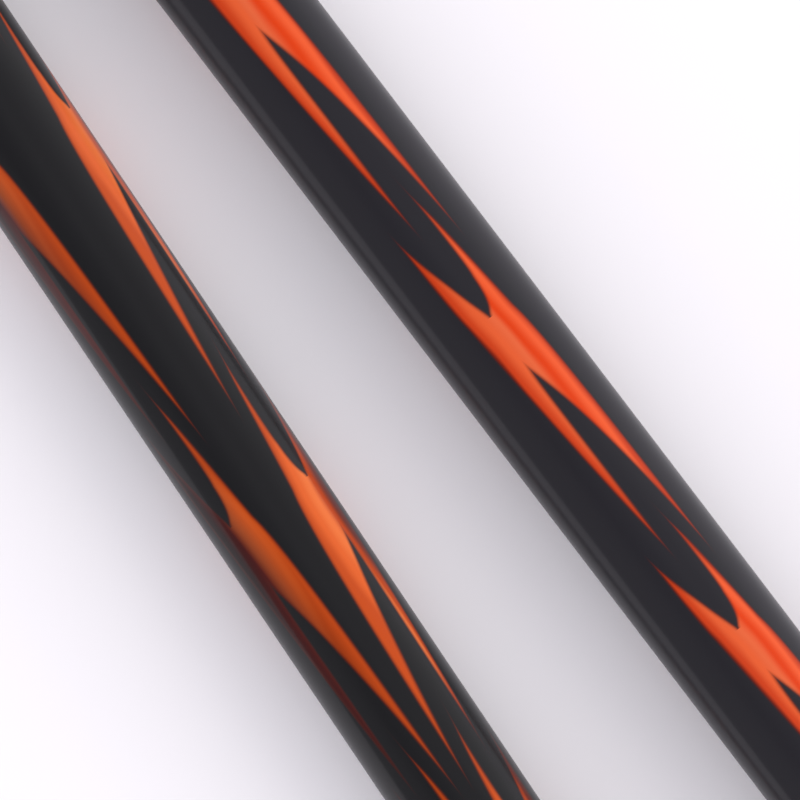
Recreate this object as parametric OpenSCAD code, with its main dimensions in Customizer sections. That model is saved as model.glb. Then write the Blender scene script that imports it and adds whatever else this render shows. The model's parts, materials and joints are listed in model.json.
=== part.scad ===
// Two-piece alignment stick, laid down with its two halves side by side.
// Millimetres, +Z up. The front half lies along X and its middle is the origin.

/* [Overall] */
// Length of the stick when the halves are joined, without the rubber caps
stick_length = 1219; // [900:1:1400]
// Outside diameter over the printed film
stick_diameter = 7.94; // [6:0.01:12]

/* [Rod] */
// Wall thickness of the printed film
film_wall = 0.2; // [0.1:0.05:0.6]
// Length of the ground point at the front end
point_length = 22; // [10:1:40]
// Radius of the blunted end of the point
point_radius = 0.9; // [0.4:0.1:2]
// Bare rod left between the film and the point
point_bare = 2; // [0:0.5:10]
// Size of the break on the rear end of the rod
rod_chamfer = 0.6; // [0.2:0.1:1.5]

/* [Joint] */
// Wall thickness of the sliding sleeve
sleeve_wall = 0.98; // [0.8:0.01:2.5]
// Length of the sliding sleeve
sleeve_length = 44; // [36:1:56]
// Wall thickness of each ferrule around the turned-down rod end
ferrule_wall = 0.82; // [0.4:0.01:1.4]
// Length of each stop collar
collar_length = 4; // [2:0.5:8]
// Solid metal ahead of the rod in each ferrule
nose_length = 10; // [8:0.5:16]
// Break on the sleeve and ferrule ends
metal_chamfer = 0.5; // [0.2:0.1:0.8]
// Thickness of the rubber rings in the ferrules
ring_cord = 1.3; // [1:0.1:1.8]
// Distance of each rubber ring from the joint face
ring_setback = 5; // [3:0.5:8]
// How far each rubber ring stands out of its ferrule
ring_proud = 0.02; // [0:0.01:0.04]
// Number of grip grooves in each band on the sleeve
groove_count = 6; // [2:1:8]
// Distance from one grip groove to the next
groove_pitch = 1.8; // [1.4:0.1:2.4]
// Width of a grip groove
groove_width = 0.8; // [0.4:0.1:1.2]
// Depth of a grip groove
groove_depth = 0.3; // [0.1:0.05:0.5]

/* [Rubber caps] */
// Wall thickness of the rubber caps
cap_wall = 0.98; // [0.6:0.01:3]
// Rubber left at the closed end of each cap
cap_floor = 3; // [1.5:0.5:6]
// Length of film that the point guard grips
guard_grip = 16; // [8:1:30]
// Length of film that the end cap grips
end_cap_grip = 22; // [10:1:40]
// Radius on the closed end of each cap
cap_round = 2.2; // [0.5:0.1:3.5]
// Width of the raised lip at each cap's mouth
lip_width = 3; // [1.5:0.5:6]
// How far the cap wall is set in behind its lip
lip_step = 0.4; // [0.2:0.1:0.8]

/* [Fits] */
// Radial clearance of the sleeve and caps on the stick
slide_clearance = 0.05; // [0.02:0.01:0.1]
// Gap left where two loose parts would meet
meeting_gap = 0.4; // [0.3:0.05:1]

/* [Layout] */
// Gap between the sleeve and a stop collar laid side by side
side_gap = 1.2; // [1:0.1:20]
// Angle by which the rear half splays away from the front half
splay_angle = 3.45; // [0:0.05:8]

/* [Hidden] */
$fn = 96;
section_length = (stick_length - meeting_gap) / 2;
film_radius = stick_diameter / 2;
core_radius = film_radius - film_wall;
tenon_radius = film_radius - ferrule_wall;
sleeve_bore = film_radius + slide_clearance;
sleeve_radius = sleeve_bore + sleeve_wall;
sleeve_travel = sleeve_length / 2;
front_spigot = sleeve_travel + meeting_gap;
rear_spigot = sleeve_length + meeting_gap;
front_ferrule_length = front_spigot + collar_length;
rear_ferrule_length = rear_spigot + collar_length;
front_film_end = section_length - point_length - point_bare;
ring_radius = film_radius + ring_proud - ring_cord / 2;
ring_floor = ring_radius - ring_cord / 2;
cap_bore = film_radius + slide_clearance;
cap_radius = cap_bore + cap_wall;
face_spacing = 2 * sleeve_radius + side_gap;
guard_mouth = front_film_end - guard_grip;
guard_end = section_length + meeting_gap + cap_floor;
end_cap_mouth = section_length - end_cap_grip;
end_cap_end = section_length + meeting_gap + cap_floor;
groove_band = (groove_count - 1) * groove_pitch;
groove_inset = sleeve_length / 4;
eps = 0.01;

// Each half is drawn upright from its joint face, then laid down in place.
module lay_front() {
  translate([-section_length / 2, 0, 0])
    rotate([0, 90, 0])
      children();
}

module lay_rear() {
  translate([-section_length / 2, face_spacing, 0])
    rotate([0, 0, splay_angle])
      rotate([0, 90, 0])
        children();
}

module tube(inner, outer, low, high) {
  rotate_extrude()
    translate([inner, low])
      square([outer - inner, high - low]);
}

// A metal end fitting: solid nose, rubber ring groove, cup for the rod, stop collar.
module ferrule(spigot, overall) {
  rotate_extrude()
    polygon([
      [0, 0],
      [film_radius - metal_chamfer, 0],
      [film_radius, metal_chamfer],
      [film_radius, ring_setback - ring_cord / 2],
      [ring_floor, ring_setback - ring_cord / 2],
      [ring_floor, ring_setback + ring_cord / 2],
      [film_radius, ring_setback + ring_cord / 2],
      [film_radius, spigot],
      [sleeve_radius - metal_chamfer, spigot],
      [sleeve_radius, spigot + metal_chamfer],
      [sleeve_radius, overall - metal_chamfer],
      [sleeve_radius - metal_chamfer, overall],
      [tenon_radius, overall],
      [tenon_radius, nose_length],
      [0, nose_length]
    ]);
}

module ring() {
  rotate_extrude()
    translate([ring_radius, ring_setback])
      circle(d = ring_cord);
}

// Outer shape of a rubber cap: raised lip at the mouth and a rounded closed end.
module cap_body(mouth, closed) {
  rotate_extrude()
    union() {
      polygon([
        [0, mouth],
        [cap_radius - lip_step, mouth],
        [cap_radius, mouth + lip_step],
        [cap_radius, mouth + lip_width],
        [cap_radius - lip_step, mouth + lip_width + lip_step],
        [cap_radius - lip_step, closed - 3 * cap_round],
        [cap_radius, closed - 2 * cap_round],
        [cap_radius, closed - cap_round],
        [cap_radius - cap_round, closed - cap_round],
        [cap_radius - cap_round, closed],
        [0, closed]
      ]);
      translate([cap_radius - cap_round, closed - cap_round])
        intersection() {
          circle(r = cap_round);
          square([cap_round, cap_round]);
        }
    }
}

module front_rod() {
  color("gainsboro")
    lay_front()
      rotate_extrude()
        polygon([
          [0, nose_length],
          [tenon_radius, nose_length],
          [tenon_radius, front_ferrule_length],
          [core_radius, front_ferrule_length],
          [core_radius, section_length - point_length],
          [point_radius, section_length - point_radius / 2],
          [point_radius / 2, section_length],
          [0, section_length]
        ]);
}

module front_film() {
  color("orangered")
    lay_front()
      tube(core_radius, film_radius, front_ferrule_length, front_film_end);
}

module front_ferrule() {
  color("silver")
    lay_front()
      ferrule(front_spigot, front_ferrule_length);
}

module front_ring() {
  color("dimgray")
    lay_front()
      ring();
}

module tip_guard() {
  color("darkslategray")
    lay_front()
      difference() {
        cap_body(guard_mouth, guard_end);
        rotate_extrude()
          polygon([
            [0, guard_mouth - eps],
            [cap_bore, guard_mouth - eps],
            [cap_bore, section_length - point_length + meeting_gap],
            [point_radius + 2 * meeting_gap, section_length + meeting_gap],
            [0, section_length + meeting_gap]
          ]);
      }
}

module rear_rod() {
  color("gainsboro")
    lay_rear()
      rotate_extrude()
        polygon([
          [0, nose_length],
          [tenon_radius, nose_length],
          [tenon_radius, rear_ferrule_length],
          [core_radius, rear_ferrule_length],
          [core_radius, section_length - rod_chamfer],
          [core_radius - rod_chamfer, section_length],
          [0, section_length]
        ]);
}

module rear_film() {
  color("orangered")
    lay_rear()
      tube(core_radius, film_radius, rear_ferrule_length, section_length - rod_chamfer);
}

module rear_ferrule() {
  color("silver")
    lay_rear()
      ferrule(rear_spigot, rear_ferrule_length);
}

module rear_ring() {
  color("dimgray")
    lay_rear()
      ring();
}

module groove_ring(level) {
  tube(sleeve_radius - groove_depth, sleeve_radius + 1, level - groove_width / 2, level + groove_width / 2);
}

module joint_sleeve() {
  color("slategray")
    lay_rear()
      difference() {
        rotate_extrude()
          polygon([
            [sleeve_bore + metal_chamfer / 2, 0],
            [sleeve_radius - metal_chamfer, 0],
            [sleeve_radius, metal_chamfer],
            [sleeve_radius, sleeve_length - metal_chamfer],
            [sleeve_radius - metal_chamfer, sleeve_length],
            [sleeve_bore + metal_chamfer / 2, sleeve_length],
            [sleeve_bore, sleeve_length - metal_chamfer / 2],
            [sleeve_bore, metal_chamfer / 2]
          ]);
        for (band = [groove_inset, sleeve_length - groove_inset])
          for (k = [0 : groove_count - 1])
            groove_ring(band - groove_band / 2 + k * groove_pitch);
      }
}

module end_cap() {
  color("darkslategray")
    lay_rear()
      difference() {
        cap_body(end_cap_mouth, end_cap_end);
        translate([0, 0, end_cap_mouth - eps])
          cylinder(r = cap_bore, h = end_cap_grip + meeting_gap + eps);
      }
}

front_rod();
front_film();
front_ferrule();
front_ring();
tip_guard();
rear_rod();
rear_film();
rear_ferrule();
rear_ring();
joint_sleeve();
end_cap();
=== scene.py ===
import json
import math

import bmesh
import bpy
from mathutils import Matrix, Vector


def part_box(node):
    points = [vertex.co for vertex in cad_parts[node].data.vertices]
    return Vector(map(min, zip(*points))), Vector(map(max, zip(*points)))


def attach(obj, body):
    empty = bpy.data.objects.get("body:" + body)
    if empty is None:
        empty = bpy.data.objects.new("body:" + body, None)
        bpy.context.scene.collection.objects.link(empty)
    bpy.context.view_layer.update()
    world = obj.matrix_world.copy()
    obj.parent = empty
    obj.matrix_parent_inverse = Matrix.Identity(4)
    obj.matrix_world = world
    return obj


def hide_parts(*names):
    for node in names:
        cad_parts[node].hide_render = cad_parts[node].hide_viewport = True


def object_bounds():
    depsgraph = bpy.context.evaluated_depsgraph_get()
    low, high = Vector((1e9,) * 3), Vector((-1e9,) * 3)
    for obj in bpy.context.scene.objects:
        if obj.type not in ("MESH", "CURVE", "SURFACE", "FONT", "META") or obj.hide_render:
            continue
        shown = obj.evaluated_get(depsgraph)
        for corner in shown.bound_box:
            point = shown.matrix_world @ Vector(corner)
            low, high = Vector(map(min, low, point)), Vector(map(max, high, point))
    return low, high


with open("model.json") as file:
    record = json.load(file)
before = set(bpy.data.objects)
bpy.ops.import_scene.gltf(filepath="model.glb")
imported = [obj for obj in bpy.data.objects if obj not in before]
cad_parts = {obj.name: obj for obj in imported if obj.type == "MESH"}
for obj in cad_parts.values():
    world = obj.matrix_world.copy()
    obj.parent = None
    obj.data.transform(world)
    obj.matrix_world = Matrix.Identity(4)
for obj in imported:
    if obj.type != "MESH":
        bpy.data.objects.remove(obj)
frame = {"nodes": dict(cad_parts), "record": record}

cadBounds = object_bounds()
mm = 0.001
print("frame loaded")

# Places. Each half is drawn up the Z axis from its joint face, then laid down where the frame has it.

mounts = {m["name"]: m for m in frame["record"]["mounts"]}
halfLength = -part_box("front_ferrule")[0].x  # the origin is the middle of the front half
rodRadius = mounts["front_shaft"]["dims"]["r_mm"] * mm

frontAlong = Vector(mounts["front_shaft"]["axis"])
rearAlong = Vector(mounts["rear_shaft"]["axis"])
frontFace = Vector(mounts["front_shaft"]["pos_m"]) - halfLength * frontAlong
rearFace = Vector(mounts["rear_shaft"]["pos_m"]) - halfLength * rearAlong


def layAlong(face, along):
    up = Vector((0, 0, 1))
    turn = Matrix((-up, up.cross(along), along)).transposed().to_4x4()
    return Matrix.Translation(face) @ turn


frontPlace = layAlong(frontFace, frontAlong)
rearPlace = layAlong(rearFace, rearAlong)


def span(node, place):
    # how far from the joint face a node starts and ends, and its smallest and largest radius
    back = place.inverted()
    points = [back @ v.co for v in frame["nodes"][node].data.vertices]
    heights = [p.z for p in points]
    radii = [math.hypot(p.x, p.y) for p in points]
    return min(heights), max(heights), min(radii), max(radii)


# Camera, straight above the two halves

view = {
    "fromJoint": 97.8 * mm,  # from the joint face to where the front half crosses the view's middle row
    "frameWidth": 49.3 * mm,
    "roll": 56.1,  # degrees that the front half falls to the right
    "frontOffset": 12.7 * mm,  # how far left of the middle the front half crosses
    "lens": 200,
    "sensor": 36,
    "clipStart": 10 * mm,
}


def makeCamera():
    cameraData = bpy.data.cameras.new("camera")
    cameraData.lens = view["lens"]
    cameraData.sensor_width = view["sensor"]
    cameraData.clip_start = view["clipStart"]
    camera = bpy.data.objects.new("camera", cameraData)
    bpy.context.collection.objects.link(camera)
    right = Matrix.Rotation(math.radians(view["roll"]), 3, "Z") @ Vector((1, 0, 0))
    middle = frontFace + view["fromJoint"] * frontAlong + view["frontOffset"] * right
    distance = view["frameWidth"] * view["lens"] / view["sensor"]
    camera.location = middle + Vector((0, 0, distance))
    camera.rotation_euler = (0, 0, math.radians(view["roll"]))
    bpy.context.scene.camera = camera


makeCamera()
print("camera placed")


# Colours and nodes

def colour(hexValue):
    # sRGB hex to the linear colour that a shader wants
    parts = [int(hexValue[i:i + 2], 16) / 255 for i in (1, 3, 5)]
    linear = [p / 12.92 if p <= 0.04045 else ((p + 0.055) / 1.055) ** 2.4 for p in parts]
    return (*linear, 1)


def addNode(tree, kind, settings=None, inputs=None):
    node = tree.nodes.new(kind)
    for key, value in (settings or {}).items():
        setattr(node, key, value)
    for key, value in (inputs or {}).items():
        if isinstance(value, bpy.types.NodeSocket):
            tree.links.new(value, node.inputs[key])
        else:
            node.inputs[key].default_value = value
    return node


def newMaterial(name):
    material = bpy.data.materials.new(name)
    material.use_nodes = True
    tree = material.node_tree
    tree.nodes.clear()
    shader = addNode(tree, "ShaderNodeBsdfPrincipled")
    addNode(tree, "ShaderNodeOutputMaterial", {}, {"Surface": shader.outputs["BSDF"]})
    return material, tree, shader


def fillRamp(ramp, stops):
    # stops are (position, hex colour)
    while len(ramp.elements) < len(stops):
        ramp.elements.new(0.5)
    for element, (position, hexValue) in zip(ramp.elements, stops):
        element.position = position
        element.color = colour(hexValue)


def alongAndRound(tree, face, along):
    # the half's own directions: X along it from its joint face, Y and Z across it
    coords = addNode(tree, "ShaderNodeTexCoord")
    laid = addNode(tree, "ShaderNodeMapping", {"vector_type": "TEXTURE"}, {
        "Vector": coords.outputs["Object"], "Location": face,
        "Rotation": (0, 0, math.atan2(along.y, along.x))})
    return laid.outputs[0]


# Outlines are drawn upright, as radius against distance from the joint face, and spun round the half

turning = {
    "facets": 96,  # round the rods, ferrules, rings and caps
    "fineFacets": 128,  # round the films and the sleeve
    "smallSteps": 3,  # facets along a broken edge
    "largeSteps": 8,  # facets along a rounding over largeFrom
    "largeFrom": 1 * mm,
    "merge": 1e-7,  # m
    "sharpFrom": 35,  # degrees between faces
}


def drawOutline(mesh, corners, closed=False):
    # corners are (radius, distance, rounding)
    line = [mesh.verts.new((r, 0, z)) for r, z, rounding in corners]
    pairs = list(zip(line, line[1:])) + ([(line[-1], line[0])] if closed else [])
    for pair in pairs:
        mesh.edges.new(pair)
    for vert, (r, z, rounding) in zip(line, corners):
        if rounding:
            steps = turning["largeSteps"] if rounding > turning["largeFrom"] else turning["smallSteps"]
            bmesh.ops.bevel(mesh, geom=[vert], offset=rounding, offset_type="OFFSET", affect="VERTICES",
                            segments=steps, profile=0.5, material=-1)


def spinOutline(mesh, segments=turning["facets"]):
    bmesh.ops.spin(mesh, geom=mesh.verts[:] + mesh.edges[:], cent=(0, 0, 0), axis=(0, 0, 1),
                   angle=math.tau, steps=segments, use_merge=True)
    bmesh.ops.remove_doubles(mesh, verts=mesh.verts, dist=turning["merge"])
    bmesh.ops.recalc_face_normals(mesh, faces=mesh.faces)


def finishPiece(name, mesh, place, node, body, material):
    bmesh.ops.transform(mesh, matrix=place, verts=mesh.verts)
    data = bpy.data.meshes.new(name)
    mesh.to_mesh(data)
    mesh.free()
    data.shade_smooth()
    data.set_sharp_from_angle(angle=math.radians(turning["sharpFrom"]))
    piece = bpy.data.objects.new(name, data)
    bpy.context.collection.objects.link(piece)
    data.materials.append(material)
    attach(piece, body)
    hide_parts(node)
    return piece


# Printed film. Flames follow each other in rows along the rod, and two rows face each other across a
# mirror line.

frontFlames = {
    "repeat": 26.7,  # mm
    "firstBody": 105.6,  # mm from the joint face to the middle of one flame's body
    "mirrorLine": 9.5,  # degrees from the top, the line that two rows face each other across
    "fold": 90,  # degrees from a mirror line to the far edge of its rows
    "spread": 50,  # degrees from the mirror line to each row
    "weave": 23,  # degrees that the rows sway
    "weaveLength": 260,  # mm
    "weaveStart": 97.8,  # mm from the joint face
    "drift": 0.02,  # repeats by which the spacing wanders
    "driftCentre": 100,  # mm
    "driftLength": 170,  # mm
    "ground": "#18181a",
    "shades": [(0, "#1a0603"), (0.16, "#5e1806"), (0.36, "#bc440e"), (0.55, "#ea7434"), (0.78, "#de6020"),
               (1, "#c0480c")],  # from the flame's bottom edge to its top edge
    "tipLift": 0.16,  # how much lighter the thin tips are than the body's root
    "farRowPaintedShadeTint": "#541e0c",  # painted shade: rows beyond the mirror line are darkened towards their bottom edge, standing in for light falling off round the stick
}
rearFlames = {
    "repeat": 24,
    "firstBody": 104.4,
    "mirrorLine": 99,
    "fold": 180,
    "spread": 90.5,
    "weave": 12,
    "weaveLength": 250,
    "weaveStart": 110.1,
    "drift": 0.1,
    "driftCentre": 118,
    "driftLength": 150,
    "ground": "#232227",
    "shades": [(0, "#96290a"), (0.12, "#da4c1a"), (0.32, "#f2703c"), (0.48, "#ee7446"), (0.66, "#e04200"),
               (0.86, "#e85c2c"), (1, "#c03a10")],
    "tipLift": 0.04,
    # painted shade, slight: rows beyond the mirror line darkened towards their bottom edge
    "farRowPaintedShadeTint": "#ead2c6",
}
# One plain flame for both halves: a leaf-shaped body with two tails ahead of it and two behind. Each edge
# is its place in the repeat (0 to 1, with 0 at the middle of the body) against degrees round the rod from
# the row's line. The ahead edges run on from the body and the behind edges run up to it.
flameOutline = {
    "aheadTop": [(0, 24), (0.4, 30), (1, 24)],
    "aheadInnerTop": [(0, -30), (0.2, 2), (0.5, 20), (0.8, 30), (1, 36)],
    "aheadInnerBottom": [(0, 30), (0.2, -2), (0.5, -4), (0.8, -6), (1, -8)],
    "aheadBottom": [(0, -22), (0.3, -16), (0.6, -9), (0.8, -2), (1, 6)],
    "behindTop": [(0, 0), (0.5, 6), (0.75, 16), (1, 24)],
    "behindInnerTop": [(0, 24), (0.5, 10), (0.75, 12), (0.9, 10), (1, 0)],
    "behindInnerBottom": [(0, -60), (0.7, -26), (0.9, -10), (1, 0)],
    "behindBottom": [(0, -12), (0.6, -24), (0.8, -24), (1, -22)],
}
flameInk = {
    "cloudSize": 2 * mm,  # airbrush clouds
    "cloudShift": 0.12,  # how far up or down the shades they move it
    "cloudDraw": 0.2,  # clouds and lacquer waves are drawn out along the stick by this
    # painted shade on the far rows, darkest at their bottom edge:
    "paintedShadeFullBelow": 0.4,  # height on a flame under which a far row's painted shade is full
    "paintedShadeLeastAbove": 0.95,  # and over which the painted shade is slight
    "leastPaintedShade": 0.1,
    "edge": "#4a1408",
    "edgeSoftness": 1.7,  # degrees either side of the outline
    "edgeFade": 4,  # degrees in which the dark edge turns to the full shade
}
film = {
    "strips": 5,  # rows in the baked picture
    "rings": 40,  # rings of faces along the film
    "inkRoughness": 0.4,
    "inkSpecular": 0.05,
    "lacquer": 0.4,  # how much of the gloss the thin lacquer gives
    "lacquerIor": 1.6,
    "lacquerRoughness": 0.13,
    "peelSize": 0.9 * mm,  # the faint waviness of sprayed lacquer
    "peelDepth": 0.01 * mm,
    "peelStrength": 0.25,
}


def outlineCurve(tree, name, points, place):
    node = addNode(tree, "ShaderNodeFloatCurve", {"label": name}, {"Value": place})
    node.mapping.use_clip = False
    curve = node.mapping.curves[0]
    while len(curve.points) < len(points):
        curve.points.new(0.5, 0)
    for point, (x, y) in zip(curve.points, points):
        point.location = (x, y)
        point.handle_type = "AUTO_CLAMPED"
    node.mapping.update()
    return node.outputs[0]


def flameDepth(tree, part, place, across):
    # degrees inside the flame's edge, and how far up the flame from its bottom edge to its top edge
    edges = {}
    for edge in ("Top", "InnerTop", "InnerBottom", "Bottom"):
        edges[edge] = outlineCurve(tree, part + edge, flameOutline[part + edge], place)
    belowTop = addNode(tree, "ShaderNodeMath", {"operation": "SUBTRACT"}, {0: edges["Top"], 1: across})
    aboveBottom = addNode(tree, "ShaderNodeMath", {"operation": "SUBTRACT"}, {0: across, 1: edges["Bottom"]})
    outer = addNode(tree, "ShaderNodeMath", {"operation": "MINIMUM"}, {
        0: belowTop.outputs[0], 1: aboveBottom.outputs[0]})
    upper = addNode(tree, "ShaderNodeMath", {"operation": "SUBTRACT"}, {0: across, 1: edges["InnerTop"]})
    lower = addNode(tree, "ShaderNodeMath", {"operation": "SUBTRACT"}, {0: edges["InnerBottom"], 1: across})
    prongs = addNode(tree, "ShaderNodeMath", {"operation": "MAXIMUM"}, {
        0: upper.outputs[0], 1: lower.outputs[0]})
    depth = addNode(tree, "ShaderNodeMath", {"operation": "MINIMUM"}, {
        0: outer.outputs[0], 1: prongs.outputs[0]})
    height = addNode(tree, "ShaderNodeMapRange", {}, {
        "Value": across, "From Min": edges["Bottom"], "From Max": edges["Top"]})
    return depth.outputs[0], height.outputs[0]


def filmMaterial(name, flames, face, along):
    # printed polyester film under clear lacquer: airbrushed flames on charcoal black, smooth and glassy
    material, tree, shader = newMaterial(name)
    laid = alongAndRound(tree, face, along)
    axes = addNode(tree, "ShaderNodeSeparateXYZ", {}, {0: laid})
    distance = addNode(tree, "ShaderNodeMath", {"operation": "DIVIDE"}, {0: axes.outputs["X"], 1: mm})
    turn = addNode(tree, "ShaderNodeMath", {"operation": "ARCTAN2"}, {
        0: axes.outputs["Y"], 1: axes.outputs["Z"]})
    degrees = addNode(tree, "ShaderNodeMath", {"operation": "DEGREES"}, {0: turn.outputs[0]})

    # the rows sway slowly towards their mirror line and away from it
    swayTurn = addNode(tree, "ShaderNodeMath", {"operation": "MULTIPLY_ADD"}, {
        0: distance.outputs[0], 1: math.tau / flames["weaveLength"],
        2: -math.tau * flames["weaveStart"] / flames["weaveLength"]})
    sway = addNode(tree, "ShaderNodeMath", {"operation": "SINE"}, {0: swayTurn.outputs[0]})
    rowLine = addNode(tree, "ShaderNodeMath", {"operation": "MULTIPLY_ADD"}, {
        0: sway.outputs[0], 1: -flames["weave"], 2: flames["spread"]})
    fromMirror = addNode(tree, "ShaderNodeMath", {"operation": "SUBTRACT"}, {
        0: degrees.outputs[0], 1: flames["mirrorLine"]})
    folded = addNode(tree, "ShaderNodeMath", {"operation": "PINGPONG"}, {
        0: fromMirror.outputs[0], 1: flames["fold"]})
    across = addNode(tree, "ShaderNodeMath", {"operation": "SUBTRACT"}, {
        0: rowLine.outputs[0], 1: folded.outputs[0]})
    repeats = addNode(tree, "ShaderNodeMath", {"operation": "MULTIPLY_ADD"}, {
        0: distance.outputs[0], 1: 1 / flames["repeat"], 2: -flames["firstBody"] / flames["repeat"]})
    driftTurn = addNode(tree, "ShaderNodeMath", {"operation": "MULTIPLY_ADD"}, {
        0: distance.outputs[0], 1: math.tau / flames["driftLength"],
        2: -math.tau * flames["driftCentre"] / flames["driftLength"]})
    driftWave = addNode(tree, "ShaderNodeMath", {"operation": "COSINE"}, {0: driftTurn.outputs[0]})
    drift = addNode(tree, "ShaderNodeMath", {"operation": "MULTIPLY_ADD"}, {
        0: driftWave.outputs[0], 1: -flames["drift"], 2: flames["drift"]})
    drifted = addNode(tree, "ShaderNodeMath", {"operation": "ADD"}, {
        0: repeats.outputs[0], 1: drift.outputs[0]})
    place = addNode(tree, "ShaderNodeMath", {"operation": "FRACT"}, {0: drifted.outputs[0]})

    aheadDepth, aheadHeight = flameDepth(tree, "ahead", place.outputs[0], across.outputs[0])
    behindDepth, behindHeight = flameDepth(tree, "behind", place.outputs[0], across.outputs[0])
    depth = addNode(tree, "ShaderNodeMath", {"operation": "MAXIMUM"}, {0: aheadDepth, 1: behindDepth})
    isBehind = addNode(tree, "ShaderNodeMath", {"operation": "GREATER_THAN"}, {0: behindDepth, 1: aheadDepth})
    height = addNode(tree, "ShaderNodeMix", {}, {
        "Factor": isBehind.outputs[0], 2: aheadHeight, 3: behindHeight})

    # airbrush: a soft cloud moves the shades a little along the flame
    stretched = addNode(tree, "ShaderNodeMapping", {}, {
        "Vector": laid, "Scale": (flameInk["cloudDraw"], 1, 1)})
    cloud = addNode(tree, "ShaderNodeTexNoise", {}, {
        "Vector": stretched.outputs[0], "Scale": 1 / flameInk["cloudSize"], "Detail": 2.0})
    shift = addNode(tree, "ShaderNodeMath", {"operation": "MULTIPLY_ADD"}, {
        0: cloud.outputs["Fac"], 1: 2 * flameInk["cloudShift"], 2: -flameInk["cloudShift"]})
    placeTurn = addNode(tree, "ShaderNodeMath", {"operation": "MULTIPLY"}, {
        0: place.outputs[0], 1: math.tau})
    placeWave = addNode(tree, "ShaderNodeMath", {"operation": "COSINE"}, {0: placeTurn.outputs[0]})
    tips = addNode(tree, "ShaderNodeMath", {"operation": "MULTIPLY_ADD"}, {
        0: placeWave.outputs[0], 1: -flames["tipLift"], 2: flames["tipLift"]})
    lifted = addNode(tree, "ShaderNodeMath", {"operation": "ADD"}, {0: tips.outputs[0], 1: shift.outputs[0]})
    shaded = addNode(tree, "ShaderNodeMath", {"operation": "ADD"}, {
        0: height.outputs[0], 1: lifted.outputs[0]})
    ramp = addNode(tree, "ShaderNodeValToRGB", {}, {"Fac": shaded.outputs[0]})
    fillRamp(ramp.color_ramp, flames["shades"])
    ramp.color_ramp.interpolation = "EASE"

    # the ground turns to a dark edge and then to the flame's own shade
    inked = addNode(tree, "ShaderNodeMapRange", {"interpolation_type": "SMOOTHSTEP"}, {
        "Value": depth.outputs[0], "From Min": -flameInk["edgeSoftness"],
        "From Max": flameInk["edgeSoftness"]})
    full = addNode(tree, "ShaderNodeMapRange", {"interpolation_type": "SMOOTHSTEP"}, {
        "Value": depth.outputs[0], "From Min": -flameInk["edgeSoftness"], "From Max": flameInk["edgeFade"]})
    # painted shade: the far row is darkened towards its bottom edge, standing in for light falling off round
    # the stick
    farRow = addNode(tree, "ShaderNodeMath", {"operation": "LESS_THAN"}, {0: fromMirror.outputs[0], 1: 0.0})
    paintedShadeByHeight = addNode(tree, "ShaderNodeMapRange", {}, {
        "Value": height.outputs[0], "From Min": flameInk["paintedShadeFullBelow"], "From Max": flameInk["paintedShadeLeastAbove"],
        "To Min": 1.0, "To Max": flameInk["leastPaintedShade"]})
    paintedShadeAmount = addNode(tree, "ShaderNodeMath", {"operation": "MULTIPLY"}, {
        0: farRow.outputs[0], 1: paintedShadeByHeight.outputs[0]})
    rowWithPaintedShade = addNode(tree, "ShaderNodeMix", {"data_type": "RGBA", "blend_type": "MULTIPLY"}, {
        "Factor": paintedShadeAmount.outputs[0], 6: ramp.outputs["Color"], 7: colour(flames["farRowPaintedShadeTint"])})
    flame = addNode(tree, "ShaderNodeMix", {"data_type": "RGBA"}, {
        "Factor": full.outputs[0], 6: colour(flameInk["edge"]), 7: rowWithPaintedShade.outputs[2]})
    printed = addNode(tree, "ShaderNodeMix", {"data_type": "RGBA"}, {
        "Factor": inked.outputs[0], 6: colour(flames["ground"]), 7: flame.outputs[2]})
    tree.links.new(printed.outputs[2], shader.inputs["Base Color"])

    peel = addNode(tree, "ShaderNodeTexNoise", {}, {
        "Vector": stretched.outputs[0], "Scale": 1 / film["peelSize"], "Detail": 1.0})
    ripple = addNode(tree, "ShaderNodeBump", {}, {
        "Height": peel.outputs["Fac"], "Strength": film["peelStrength"], "Distance": film["peelDepth"]})
    tree.links.new(ripple.outputs[0], shader.inputs["Normal"])
    tree.links.new(ripple.outputs[0], shader.inputs["Coat Normal"])
    shader.inputs["Roughness"].default_value = film["inkRoughness"]
    shader.inputs["Specular IOR Level"].default_value = film["inkSpecular"]
    shader.inputs["Coat Weight"].default_value = film["lacquer"]
    shader.inputs["Coat Roughness"].default_value = film["lacquerRoughness"]
    shader.inputs["Coat IOR"].default_value = film["lacquerIor"]
    return material


bakeSheet = {
    "stripFill": 0.97,  # of a strip's height
    "margin": 0.005,  # of the sheet's width, at each side
    "hiddenRow": 0.2,  # height of the row for the film's inside, in strips
    "hiddenFill": 0.15,
    "insideBy": 0.01 * mm,  # faces this far under the outside are the hidden ones
}


def bakeLayout(mesh, low, high):
    # unrolls the film into strips, so that a baked picture keeps its print sharp
    layer = mesh.loops.layers.uv.new("OFBake")
    stripLength = (high - low) / film["strips"]
    rows = film["strips"] + bakeSheet["hiddenRow"]
    for face in mesh.faces:
        middle = face.calc_center_median()
        turn = math.atan2(middle.y, middle.x)
        hidden = math.hypot(middle.x, middle.y) < rodRadius - bakeSheet["insideBy"]
        strip = min(int((middle.z - low) / stripLength), film["strips"] - 1)
        for loop in face.loops:
            point = loop.vert.co
            offset = (math.atan2(point.y, point.x) - turn + math.pi) % math.tau - math.pi
            u = (point.z - low) / stripLength - strip
            v = strip + 0.5 + bakeSheet["stripFill"] * (turn + offset) / math.tau
            if hidden:
                u = (point.z - low) / (high - low)
                hiddenMiddle = film["strips"] + bakeSheet["hiddenRow"] / 2
                v = hiddenMiddle + bakeSheet["hiddenFill"] * (turn + offset) / math.tau
            loop[layer].uv = (bakeSheet["margin"] + (1 - 2 * bakeSheet["margin"]) * u, v / rows)


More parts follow.
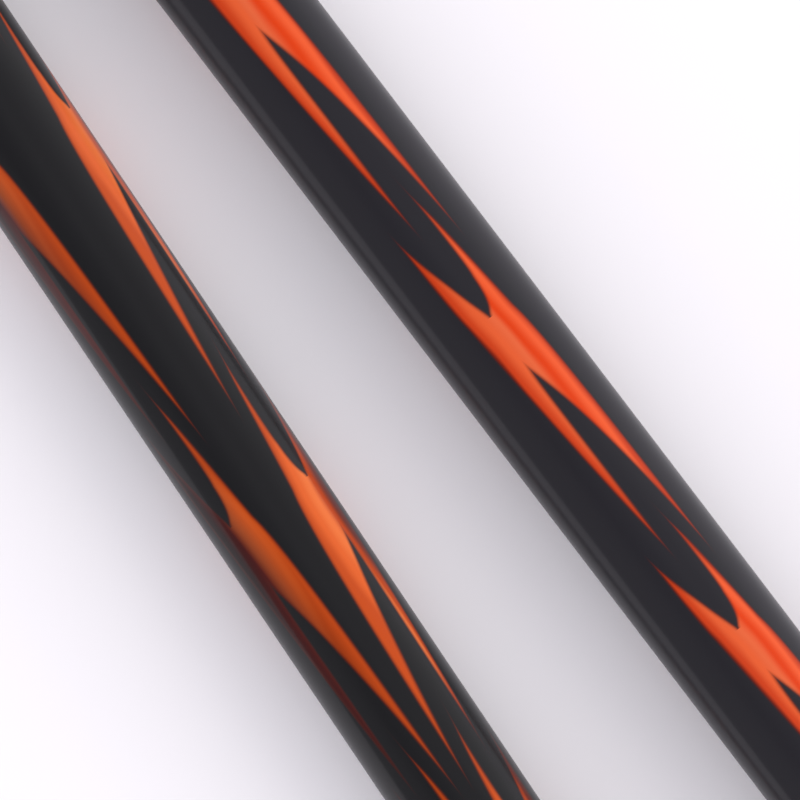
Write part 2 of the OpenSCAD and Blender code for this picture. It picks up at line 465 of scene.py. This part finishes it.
def makeFilm(name, node, place, body, material):
    low, high, inner, outer = span(node, place)
    mesh = bmesh.new()
    rings = film["rings"]
    wall = [(outer, low + (high - low) * i / rings, 0) for i in range(rings + 1)]
    drawOutline(mesh, wall + [(inner, high, 0), (inner, low, 0)], closed=True)
    spinOutline(mesh, segments=turning["fineFacets"])
    bakeLayout(mesh, low, high)
    return finishPiece(name, mesh, place, node, body, material)


frontPrint = filmMaterial("lacqueredFlameFilmFront", frontFlames, frontFace, frontAlong)
rearPrint = filmMaterial("lacqueredFlameFilmRear", rearFlames, rearFace, rearAlong)
frontFilm = makeFilm("frontFilmWrap", "front_film", frontPlace, "front_section", frontPrint)
rearFilm = makeFilm("rearFilmWrap", "rear_film", rearPlace, "rear_section", rearPrint)
print("films made")


# Rods

rod = {
    "noseLength": 10 * mm,  # solid metal ahead of the rod's end
    "tenonRadius": 3.15 * mm,
    "pointLength": 22 * mm,
    "pointRadius": 0.9 * mm,
    "endChamfer": 0.6 * mm,
    "resin": "#cfc7a6",
    "strands": "#efe9d6",
    "strandWidth": 0.35 * mm,  # a glass strand is finer, drawn this wide so that it shows
    "strandDraw": 0.02,  # strands are drawn out along the rod by this
    "relief": 0.02 * mm,
    "sideRoughness": 0.35,
    "groundDull": "#d9d4c2",  # the two shades of the ground point
    "groundPale": "#f6f2e6",
    "groundRoughness": 0.75,
    "groundBlend": 0.1 * mm,  # either side of where the grinding starts
    "grindFeed": 0.5 * mm,
    "tenonEdge": 0.1 * mm,
    "endEdge": 0.15 * mm,
    "pointEdge": 0.3 * mm,
    "tipEdge": 0.2 * mm,
    "glassIor": 1.54,
}


def ringMarks(tree, laid, feed):
    # fine rings that a lathe leaves, round a side and round an end face alike
    axes = addNode(tree, "ShaderNodeSeparateXYZ", {}, {0: laid})
    acrossOnly = addNode(tree, "ShaderNodeCombineXYZ", {}, {1: axes.outputs["Y"], 2: axes.outputs["Z"]})
    radius = addNode(tree, "ShaderNodeVectorMath", {"operation": "LENGTH"}, {0: acrossOnly.outputs[0]})
    toolPath = addNode(tree, "ShaderNodeMath", {"operation": "ADD"}, {
        0: axes.outputs["X"], 1: radius.outputs["Value"]})
    marks = addNode(tree, "ShaderNodeTexNoise", {"noise_dimensions": "1D"}, {
        "W": toolPath.outputs[0], "Scale": 1 / feed, "Detail": 2.0, "Roughness": 0.6})
    return marks.outputs["Fac"], axes.outputs["X"], radius.outputs["Value"]


def glassFibreMaterial(name, face, along, pointStart):
    # pultruded glass fibre: creamy resin with pale strands along it, whiter and ringed where it is ground
    material, tree, shader = newMaterial(name)
    laid = alongAndRound(tree, face, along)
    drawn = addNode(tree, "ShaderNodeMapping", {}, {"Vector": laid, "Scale": (rod["strandDraw"], 1, 1)})
    strands = addNode(tree, "ShaderNodeTexNoise", {}, {
        "Vector": drawn.outputs[0], "Scale": 1 / rod["strandWidth"], "Detail": 3.0})
    spread = addNode(tree, "ShaderNodeMapRange", {}, {
        "Value": strands.outputs["Fac"], "From Min": 0.38, "From Max": 0.66})
    marks, distance, _ = ringMarks(tree, laid, rod["grindFeed"])
    onPoint = addNode(tree, "ShaderNodeMapRange", {}, {
        "Value": distance, "From Min": pointStart - rod["groundBlend"],
        "From Max": pointStart + rod["groundBlend"]})
    resin = addNode(tree, "ShaderNodeMix", {"data_type": "RGBA"}, {
        "Factor": spread.outputs[0], 6: colour(rod["resin"]), 7: colour(rod["strands"])})
    groundShade = addNode(tree, "ShaderNodeMix", {"data_type": "RGBA"}, {
        "Factor": marks, 6: colour(rod["groundDull"]), 7: colour(rod["groundPale"])})
    finished = addNode(tree, "ShaderNodeMix", {"data_type": "RGBA"}, {
        "Factor": onPoint.outputs[0], 6: resin.outputs[2], 7: groundShade.outputs[2]})
    tree.links.new(finished.outputs[2], shader.inputs["Base Color"])
    gloss = addNode(tree, "ShaderNodeMapRange", {}, {
        "Value": onPoint.outputs[0], "To Min": rod["sideRoughness"], "To Max": rod["groundRoughness"]})
    tree.links.new(gloss.outputs[0], shader.inputs["Roughness"])
    relief = addNode(tree, "ShaderNodeMix", {}, {
        "Factor": onPoint.outputs[0], 2: strands.outputs["Fac"], 3: marks})
    bump = addNode(tree, "ShaderNodeBump", {}, {
        "Height": relief.outputs[0], "Strength": 0.5, "Distance": rod["relief"]})
    tree.links.new(bump.outputs[0], shader.inputs["Normal"])
    shader.inputs["IOR"].default_value = rod["glassIor"]
    return material


def makeRod(name, node, place, body, material, ferruleEnd, pointed):
    low, high, _, coreRadius = span(node, place)
    corners = [
        (0, low, 0),
        (rod["tenonRadius"], low, rod["tenonEdge"]),
        (rod["tenonRadius"], ferruleEnd, 0),
        (coreRadius, ferruleEnd, 0),
    ]
    if pointed:
        corners += [
            (coreRadius, high - rod["pointLength"], rod["pointEdge"]),
            (rod["pointRadius"], high - rod["pointRadius"] / 2, rod["pointEdge"]),
            (rod["pointRadius"] / 2, high, rod["tipEdge"]),
            (0, high, 0),
        ]
    else:
        corners += [
            (coreRadius, high - rod["endChamfer"], rod["endEdge"]),
            (coreRadius - rod["endChamfer"], high, rod["endEdge"]),
            (0, high, 0),
        ]
    mesh = bmesh.new()
    drawOutline(mesh, corners)
    spinOutline(mesh)
    return finishPiece(name, mesh, place, node, body, material)


pointStart = span("front_rod", frontPlace)[1] - rod["pointLength"]
frontFibre = glassFibreMaterial("pultrudedGlassFibreFront", frontFace, frontAlong, pointStart)
frontRod = makeRod("frontRodCore", "front_rod", frontPlace, "front_section", frontFibre,
                   span("front_ferrule", frontPlace)[1], True)
cutStart = span("rear_rod", rearPlace)[1] - rod["endChamfer"]
rearFibre = glassFibreMaterial("pultrudedGlassFibreRear", rearFace, rearAlong, cutStart)
rearRod = makeRod("rearRodCore", "rear_rod", rearPlace, "rear_section", rearFibre,
                  span("rear_ferrule", rearPlace)[1], False)
for piece in (frontFilm, rearFilm, frontRod, rearRod):
    piece.visible_glossy = False  # two halves lying this close would darken each other's gloss
print("rods made")


# Ferrules and their rubber rings

ferrule = {
    "collarLength": 4 * mm,
    "chamfer": 0.5 * mm,
    "edge": 0.12 * mm,  # the small radius left on each turned edge
    "steel": "#c6c3bd",
    "handled": "#aeaba5",  # where fingers have dulled it
    "handlingSize": 3 * mm,
    "turningFeed": 0.22 * mm,  # real feed is about half of this, drawn coarser so that it shows
    "turningDepth": 0.012 * mm,
    "roughness": 0.06,  # where it is cleanest
    "handledRougher": 0.22,
    "turnedRougher": 0.16,
}
ring = {
    "place": 5 * mm,
    "cord": 1.3 * mm,
    "floor": 2.69 * mm,  # radius at the bottom of its groove
    "facets": 24,  # round its cord
    "rubber": "#0c0c0d",
    "greased": "#1a1a1b",
    "grain": 0.25 * mm,
    "greasedRoughness": 0.3,
    "dryRoughness": 0.55,
    "rubberIor": 1.52,
}


def turnedSteelMaterial(name, face, along):
    # turned stainless steel: bright and slightly warm, with rings from the tool and a few handling marks
    material, tree, shader = newMaterial(name)
    laid = alongAndRound(tree, face, along)
    marks = ringMarks(tree, laid, ferrule["turningFeed"])[0]
    handling = addNode(tree, "ShaderNodeTexNoise", {}, {
        "Vector": laid, "Scale": 1 / ferrule["handlingSize"], "Detail": 4.0, "Roughness": 0.65})
    tone = addNode(tree, "ShaderNodeMix", {"data_type": "RGBA"}, {
        "Factor": handling.outputs["Fac"], 6: colour(ferrule["handled"]), 7: colour(ferrule["steel"])})
    tree.links.new(tone.outputs[2], shader.inputs["Base Color"])
    smear = addNode(tree, "ShaderNodeMath", {"operation": "MULTIPLY_ADD"}, {
        0: handling.outputs["Fac"], 1: ferrule["handledRougher"], 2: ferrule["roughness"]})
    rough = addNode(tree, "ShaderNodeMath", {"operation": "MULTIPLY_ADD"}, {
        0: marks, 1: ferrule["turnedRougher"], 2: smear.outputs[0]})
    tree.links.new(rough.outputs[0], shader.inputs["Roughness"])
    bump = addNode(tree, "ShaderNodeBump", {}, {
        "Height": marks, "Strength": 0.35, "Distance": ferrule["turningDepth"]})
    tree.links.new(bump.outputs[0], shader.inputs["Normal"])
    shader.inputs["Metallic"].default_value = 1.0
    return material


def makeFerrule(name, node, place, body, material):
    low, high, _, collar = span(node, place)
    spigot = high - ferrule["collarLength"]
    chamfer, edge = ferrule["chamfer"], ferrule["edge"]
    near, far = ring["place"] - ring["cord"] / 2, ring["place"] + ring["cord"] / 2
    mesh = bmesh.new()
    drawOutline(mesh, [
        (0, low, 0),
        (rodRadius - chamfer, low, edge),
        (rodRadius, low + chamfer, edge),
        (rodRadius, near, edge),
        (ring["floor"], near, edge),
        (ring["floor"], far, edge),
        (rodRadius, far, edge),
        (rodRadius, spigot, edge),
        (collar - chamfer, spigot, edge),
        (collar, spigot + chamfer, edge),
        (collar, high - chamfer, edge),
        (collar - chamfer, high, edge),
        (rod["tenonRadius"], high, edge),
        (rod["tenonRadius"], rod["noseLength"], edge),
        (0, rod["noseLength"], 0),
    ])
    spinOutline(mesh)
    return finishPiece(name, mesh, place, node, body, material)


def nitrileMaterial(name):
    # nitrile rubber, moulded and lightly greased: deep black with a soft sheen
    material, tree, shader = newMaterial(name)
    coords = addNode(tree, "ShaderNodeTexCoord")
    grain = addNode(tree, "ShaderNodeTexNoise", {}, {
        "Vector": coords.outputs["Object"], "Scale": 1 / ring["grain"], "Detail": 2.0})
    tone = addNode(tree, "ShaderNodeMix", {"data_type": "RGBA"}, {
        "Factor": grain.outputs["Fac"], 6: colour(ring["rubber"]), 7: colour(ring["greased"])})
    tree.links.new(tone.outputs[2], shader.inputs["Base Color"])
    sheen = addNode(tree, "ShaderNodeMapRange", {}, {
        "Value": grain.outputs["Fac"], "To Min": ring["greasedRoughness"], "To Max": ring["dryRoughness"]})
    tree.links.new(sheen.outputs[0], shader.inputs["Roughness"])
    shader.inputs["IOR"].default_value = ring["rubberIor"]
    return material


def makeRing(name, node, place, body, material):
    mesh = bmesh.new()
    bmesh.ops.create_circle(mesh, segments=ring["facets"], radius=ring["cord"] / 2)
    middle = (ring["floor"] + ring["cord"] / 2, 0, ring["place"])
    stand = Matrix.Translation(middle) @ Matrix.Rotation(math.pi / 2, 4, "X")
    bmesh.ops.transform(mesh, matrix=stand, verts=mesh.verts)
    spinOutline(mesh)
    return finishPiece(name, mesh, place, node, body, material)


makeFerrule("frontSteelFerrule", "front_ferrule", frontPlace, "front_section",
            turnedSteelMaterial("turnedSteelFront", frontFace, frontAlong))
makeFerrule("rearSteelFerrule", "rear_ferrule", rearPlace, "rear_section",
            turnedSteelMaterial("turnedSteelRear", rearFace, rearAlong))
nitrile = nitrileMaterial("greasedNitrileRubber")
makeRing("frontSealRing", "front_ring", frontPlace, "front_section", nitrile)
makeRing("rearSealRing", "rear_ring", rearPlace, "rear_section", nitrile)
print("ferrules and rings made")


# Joint sleeve

sleeve = {
    "chamfer": 0.5 * mm,
    "edge": 0.1 * mm,
    "grooves": 6,  # in each of the two grip bands
    "groovePitch": 1.8 * mm,
    "grooveWidth": 0.8 * mm,
    "grooveDepth": 0.3 * mm,
    "anodised": "#2b2b30",
    "dyeDark": "#232327",  # where the dye took deeper
    "bare": "#7d7d82",
    "turningFeed": 0.25 * mm,
    "turningDepth": 0.012 * mm,
    "roughness": 0.26,  # where it is smoothest
    "turnedRougher": 0.2,
    "patchSize": 2 * mm,  # of the dye and the wear
    "wearFrom": 0.54,  # noise over which an edge starts to wear
    "wearFull": 0.66,
}


def anodisedMaterial(name, face, along, low, high, outer):
    # black anodised aluminium, satin, with faint tool rings, rubbed bare in flecks on its end edges
    material, tree, shader = newMaterial(name)
    laid = alongAndRound(tree, face, along)
    marks, distance, radius = ringMarks(tree, laid, sleeve["turningFeed"])
    fromMiddle = addNode(tree, "ShaderNodeMath", {"operation": "SUBTRACT"}, {
        0: distance, 1: (low + high) / 2})
    toEnd = addNode(tree, "ShaderNodeMath", {"operation": "ABSOLUTE"}, {0: fromMiddle.outputs[0]})
    halfLong = (high - low) / 2
    nearEdge = addNode(tree, "ShaderNodeMapRange", {}, {
        "Value": toEnd.outputs[0], "From Min": halfLong - 1.6 * sleeve["chamfer"],
        "From Max": halfLong - 0.4 * sleeve["chamfer"]})
    onOutside = addNode(tree, "ShaderNodeMapRange", {}, {
        "Value": radius, "From Min": outer - 1.2 * sleeve["chamfer"],
        "From Max": outer - 0.8 * sleeve["chamfer"]})
    patches = addNode(tree, "ShaderNodeTexNoise", {}, {
        "Vector": laid, "Scale": 1 / sleeve["patchSize"], "Detail": 3.0, "Roughness": 0.6})
    chance = addNode(tree, "ShaderNodeMapRange", {}, {
        "Value": patches.outputs["Fac"], "From Min": sleeve["wearFrom"], "From Max": sleeve["wearFull"]})
    atEdge = addNode(tree, "ShaderNodeMath", {"operation": "MULTIPLY"}, {
        0: nearEdge.outputs[0], 1: onOutside.outputs[0]})
    worn = addNode(tree, "ShaderNodeMath", {"operation": "MULTIPLY"}, {
        0: atEdge.outputs[0], 1: chance.outputs[0]})
    dyed = addNode(tree, "ShaderNodeMix", {"data_type": "RGBA"}, {
        "Factor": patches.outputs["Fac"], 6: colour(sleeve["dyeDark"]), 7: colour(sleeve["anodised"])})
    tone = addNode(tree, "ShaderNodeMix", {"data_type": "RGBA"}, {
        "Factor": worn.outputs[0], 6: dyed.outputs[2], 7: colour(sleeve["bare"])})
    tree.links.new(tone.outputs[2], shader.inputs["Base Color"])
    rough = addNode(tree, "ShaderNodeMath", {"operation": "MULTIPLY_ADD"}, {
        0: marks, 1: sleeve["turnedRougher"], 2: sleeve["roughness"]})
    tree.links.new(rough.outputs[0], shader.inputs["Roughness"])
    bump = addNode(tree, "ShaderNodeBump", {}, {
        "Height": marks, "Strength": 0.3, "Distance": sleeve["turningDepth"]})
    tree.links.new(bump.outputs[0], shader.inputs["Normal"])
    shader.inputs["Metallic"].default_value = 1.0
    return material


def makeSleeve():
    low, high, bore, outer = span("joint_sleeve", rearPlace)
    chamfer, edge, half = sleeve["chamfer"], sleeve["edge"], sleeve["grooveWidth"] / 2
    corners = [
        (bore, low + chamfer / 2, edge),
        (bore + chamfer / 2, low, edge / 2),
        (outer - chamfer, low, edge),
        (outer, low + chamfer, edge),
    ]
    quarter = (high - low) / 4
    band = (sleeve["grooves"] - 1) * sleeve["groovePitch"]
    for middle in (low + quarter, high - quarter):
        for k in range(sleeve["grooves"]):
            level = middle - band / 2 + k * sleeve["groovePitch"]
            corners += [
                (outer, level - half, edge),
                (outer - sleeve["grooveDepth"], level - half, edge),
                (outer - sleeve["grooveDepth"], level + half, edge),
                (outer, level + half, edge),
            ]
    corners += [
        (outer, high - chamfer, edge),
        (outer - chamfer, high, edge),
        (bore + chamfer / 2, high, edge / 2),
        (bore, high - chamfer / 2, edge),
    ]
    mesh = bmesh.new()
    drawOutline(mesh, corners, closed=True)
    spinOutline(mesh, segments=turning["fineFacets"])
    material = anodisedMaterial("blackAnodisedAluminium", rearFace, rearAlong, low, high, outer)
    return finishPiece("jointSleeveTube", mesh, rearPlace, "joint_sleeve", "joint_sleeve", material)


makeSleeve()
print("sleeve made")


# Rubber caps

cap = {
    "closedEnd": 3 * mm,  # rubber left at the closed end
    "round": 2.2 * mm,
    "lipWidth": 3 * mm,
    "lipStep": 0.4 * mm,
    "pointGap": 0.4 * mm,  # room left round the ground point
    "clearance": 0.05 * mm,  # between the cap and the film
    "edge": 0.12 * mm,
    "swellEdge": 0.6 * mm,  # rounding where the wall swells towards the closed end
    "rubber": "#141415",
    "rubberIor": 1.52,
    "plainRoughness": 0.5,
    "bloom": "#202022",
    "bloomSize": 6 * mm,
    "bloomRoughness": 0.75,
    "grit": 0.3 * mm,  # texture of the mould
    "gritDepth": 0.03 * mm,
}


def mouldedRubberMaterial(name):
    # moulded rubber: matt charcoal with a fine mould grain and a faint grey bloom in patches
    material, tree, shader = newMaterial(name)
    coords = addNode(tree, "ShaderNodeTexCoord")
    grit = addNode(tree, "ShaderNodeTexNoise", {}, {
        "Vector": coords.outputs["Object"], "Scale": 1 / cap["grit"], "Detail": 2.0})
    patches = addNode(tree, "ShaderNodeTexNoise", {}, {
        "Vector": coords.outputs["Object"], "Scale": 1 / cap["bloomSize"], "Detail": 3.0, "Roughness": 0.6})
    bloom = addNode(tree, "ShaderNodeMapRange", {}, {
        "Value": patches.outputs["Fac"], "From Min": 0.4, "From Max": 0.7})
    tone = addNode(tree, "ShaderNodeMix", {"data_type": "RGBA"}, {
        "Factor": bloom.outputs[0], 6: colour(cap["rubber"]), 7: colour(cap["bloom"])})
    tree.links.new(tone.outputs[2], shader.inputs["Base Color"])
    matt = addNode(tree, "ShaderNodeMapRange", {}, {
        "Value": patches.outputs["Fac"], "To Min": cap["plainRoughness"], "To Max": cap["bloomRoughness"]})
    tree.links.new(matt.outputs[0], shader.inputs["Roughness"])
    bump = addNode(tree, "ShaderNodeBump", {}, {
        "Height": grit.outputs["Fac"], "Strength": 0.5, "Distance": cap["gritDepth"]})
    tree.links.new(bump.outputs[0], shader.inputs["Normal"])
    shader.inputs["IOR"].default_value = cap["rubberIor"]
    return material


def makeCap(name, node, place, body, material, pointed):
    low, high, _, outer = span(node, place)
    bore = rodRadius + cap["clearance"]
    cavityEnd = high - cap["closedEnd"]
    step, fine = cap["lipStep"], cap["edge"]
    corners = [
        (0, high, 0),
        (outer, high, cap["round"]),
        (outer, high - 2 * cap["round"], cap["swellEdge"]),
        (outer - step, high - 3 * cap["round"], cap["swellEdge"]),
        (outer - step, low + cap["lipWidth"] + step, fine),
        (outer, low + cap["lipWidth"], fine),
        (outer, low + step, fine),
        (outer - step, low, fine),
        (bore, low, fine),
    ]
    if pointed:
        blunt = rod["pointRadius"] + 2 * cap["pointGap"]
        corners += [
            (bore, cavityEnd - rod["pointLength"], fine),
            (blunt, cavityEnd, fine),
            (0, cavityEnd, 0),
        ]
    else:
        corners += [
            (bore, cavityEnd, fine),
            (0, cavityEnd, 0),
        ]
    mesh = bmesh.new()
    drawOutline(mesh, corners)
    spinOutline(mesh)
    return finishPiece(name, mesh, place, node, body, material)


capRubber = mouldedRubberMaterial("mouldedCapRubber")
makeCap("tipGuardCap", "tip_guard", frontPlace, "tip_guard", capRubber, True)
makeCap("rearEndCap", "end_cap", rearPlace, "end_cap", capRubber, False)
print("caps made")


# Stage and light. The surround brightens round from one side of the stick to the other, and one large
# soft panel off the stick's end throws the shadows.

stage = {
    "floor": "#f3f1f5",
    "floorSize": 4,  # m
    "floorRoughness": 0.85,
    "floorSpecular": 0.2,
    "floorGlow": 0.09,  # the table top is white acrylic with a little light coming up through it
    "surround": [(-90, "#aaa8ae"), (-70, "#aeacb2"), (-50, "#a09ea4"), (-30, "#78767c"), (-10, "#8c8a90"),
                 (10, "#adabb0"), (30, "#a6a4a9"), (50, "#c2c0c5"), (70, "#e5e3e7"), (90, "#fffdff")],
    "ends": "#f2f0f4",  # beyond the stick's two ends, where it fills the shadows
    "endsStrength": 1.5,
    "endsFrom": 0.2,  # the ends start to show where a direction points this far along the stick
    "endsFull": 0.5,  # and show fully from here
    "surroundStrength": 1.05,
    "panelPlace": (0.9, 1.36, 1.16),  # m
    "panelSize": 1.3,
    "panelRadiance": 2.9,
    "panelTint": "#fffaf5",
}


def makeFloor():
    mesh = bmesh.new()
    bmesh.ops.create_grid(mesh, x_segments=1, y_segments=1, size=stage["floorSize"])
    data = bpy.data.meshes.new("floor")
    mesh.to_mesh(data)
    mesh.free()
    floor = bpy.data.objects.new("floor", data)
    bpy.context.collection.objects.link(floor)
    floor.location.z = cadBounds[0].z
    material, _, shader = newMaterial("litAcrylicTable")  # an even, nearly shadowless pale ground
    shader.inputs["Base Color"].default_value = colour(stage["floor"])
    shader.inputs["Roughness"].default_value = stage["floorRoughness"]
    shader.inputs["Specular IOR Level"].default_value = stage["floorSpecular"]
    shader.inputs["Emission Color"].default_value = colour(stage["floor"])
    shader.inputs["Emission Strength"].default_value = stage["floorGlow"]
    data.materials.append(material)


def makeSurround():
    world = bpy.data.worlds.new("studio")
    world.use_nodes = True
    tree = world.node_tree
    tree.nodes.clear()
    coords = addNode(tree, "ShaderNodeTexCoord")
    axes = addNode(tree, "ShaderNodeSeparateXYZ", {}, {0: coords.outputs["Generated"]})
    tilt = addNode(tree, "ShaderNodeMath", {"operation": "ARCTAN2"}, {
        0: axes.outputs["Y"], 1: axes.outputs["Z"]})
    place = addNode(tree, "ShaderNodeMapRange", {}, {
        "Value": tilt.outputs[0], "From Min": -math.pi / 2, "From Max": math.pi / 2})
    ramp = addNode(tree, "ShaderNodeValToRGB", {}, {"Fac": place.outputs[0]})
    fillRamp(ramp.color_ramp, [((angle + 90) / 180, hexValue) for angle, hexValue in stage["surround"]])
    endways = addNode(tree, "ShaderNodeMath", {"operation": "ABSOLUTE"}, {0: axes.outputs["X"]})
    towardsEnd = addNode(tree, "ShaderNodeMapRange", {"interpolation_type": "SMOOTHSTEP"}, {
        "Value": endways.outputs[0], "From Min": stage["endsFrom"], "From Max": stage["endsFull"]})
    sides = addNode(tree, "ShaderNodeBackground", {}, {
        "Color": ramp.outputs["Color"], "Strength": stage["surroundStrength"]})
    ends = addNode(tree, "ShaderNodeBackground", {}, {
        "Color": colour(stage["ends"]), "Strength": stage["endsStrength"]})
    both = addNode(tree, "ShaderNodeMixShader", {}, {
        0: towardsEnd.outputs[0], 1: sides.outputs[0], 2: ends.outputs[0]})
    addNode(tree, "ShaderNodeOutputWorld", {}, {"Surface": both.outputs[0]})
    bpy.context.scene.world = world


def makePanel():
    lightData = bpy.data.lights.new("keyPanel", "AREA")
    lightData.size = stage["panelSize"]
    lightData.energy = stage["panelRadiance"] * math.pi * stage["panelSize"] ** 2
    lightData.color = colour(stage["panelTint"])[:3]
    light = bpy.data.objects.new("keyPanel", lightData)
    bpy.context.collection.objects.link(light)
    light.location = stage["panelPlace"]
    light.rotation_euler = Vector(stage["panelPlace"]).to_track_quat("Z", "Y").to_euler()
    light.visible_camera = False


makeFloor()
makeSurround()
makePanel()
bpy.context.scene.view_settings.view_transform = "Standard"
print("stage lit")
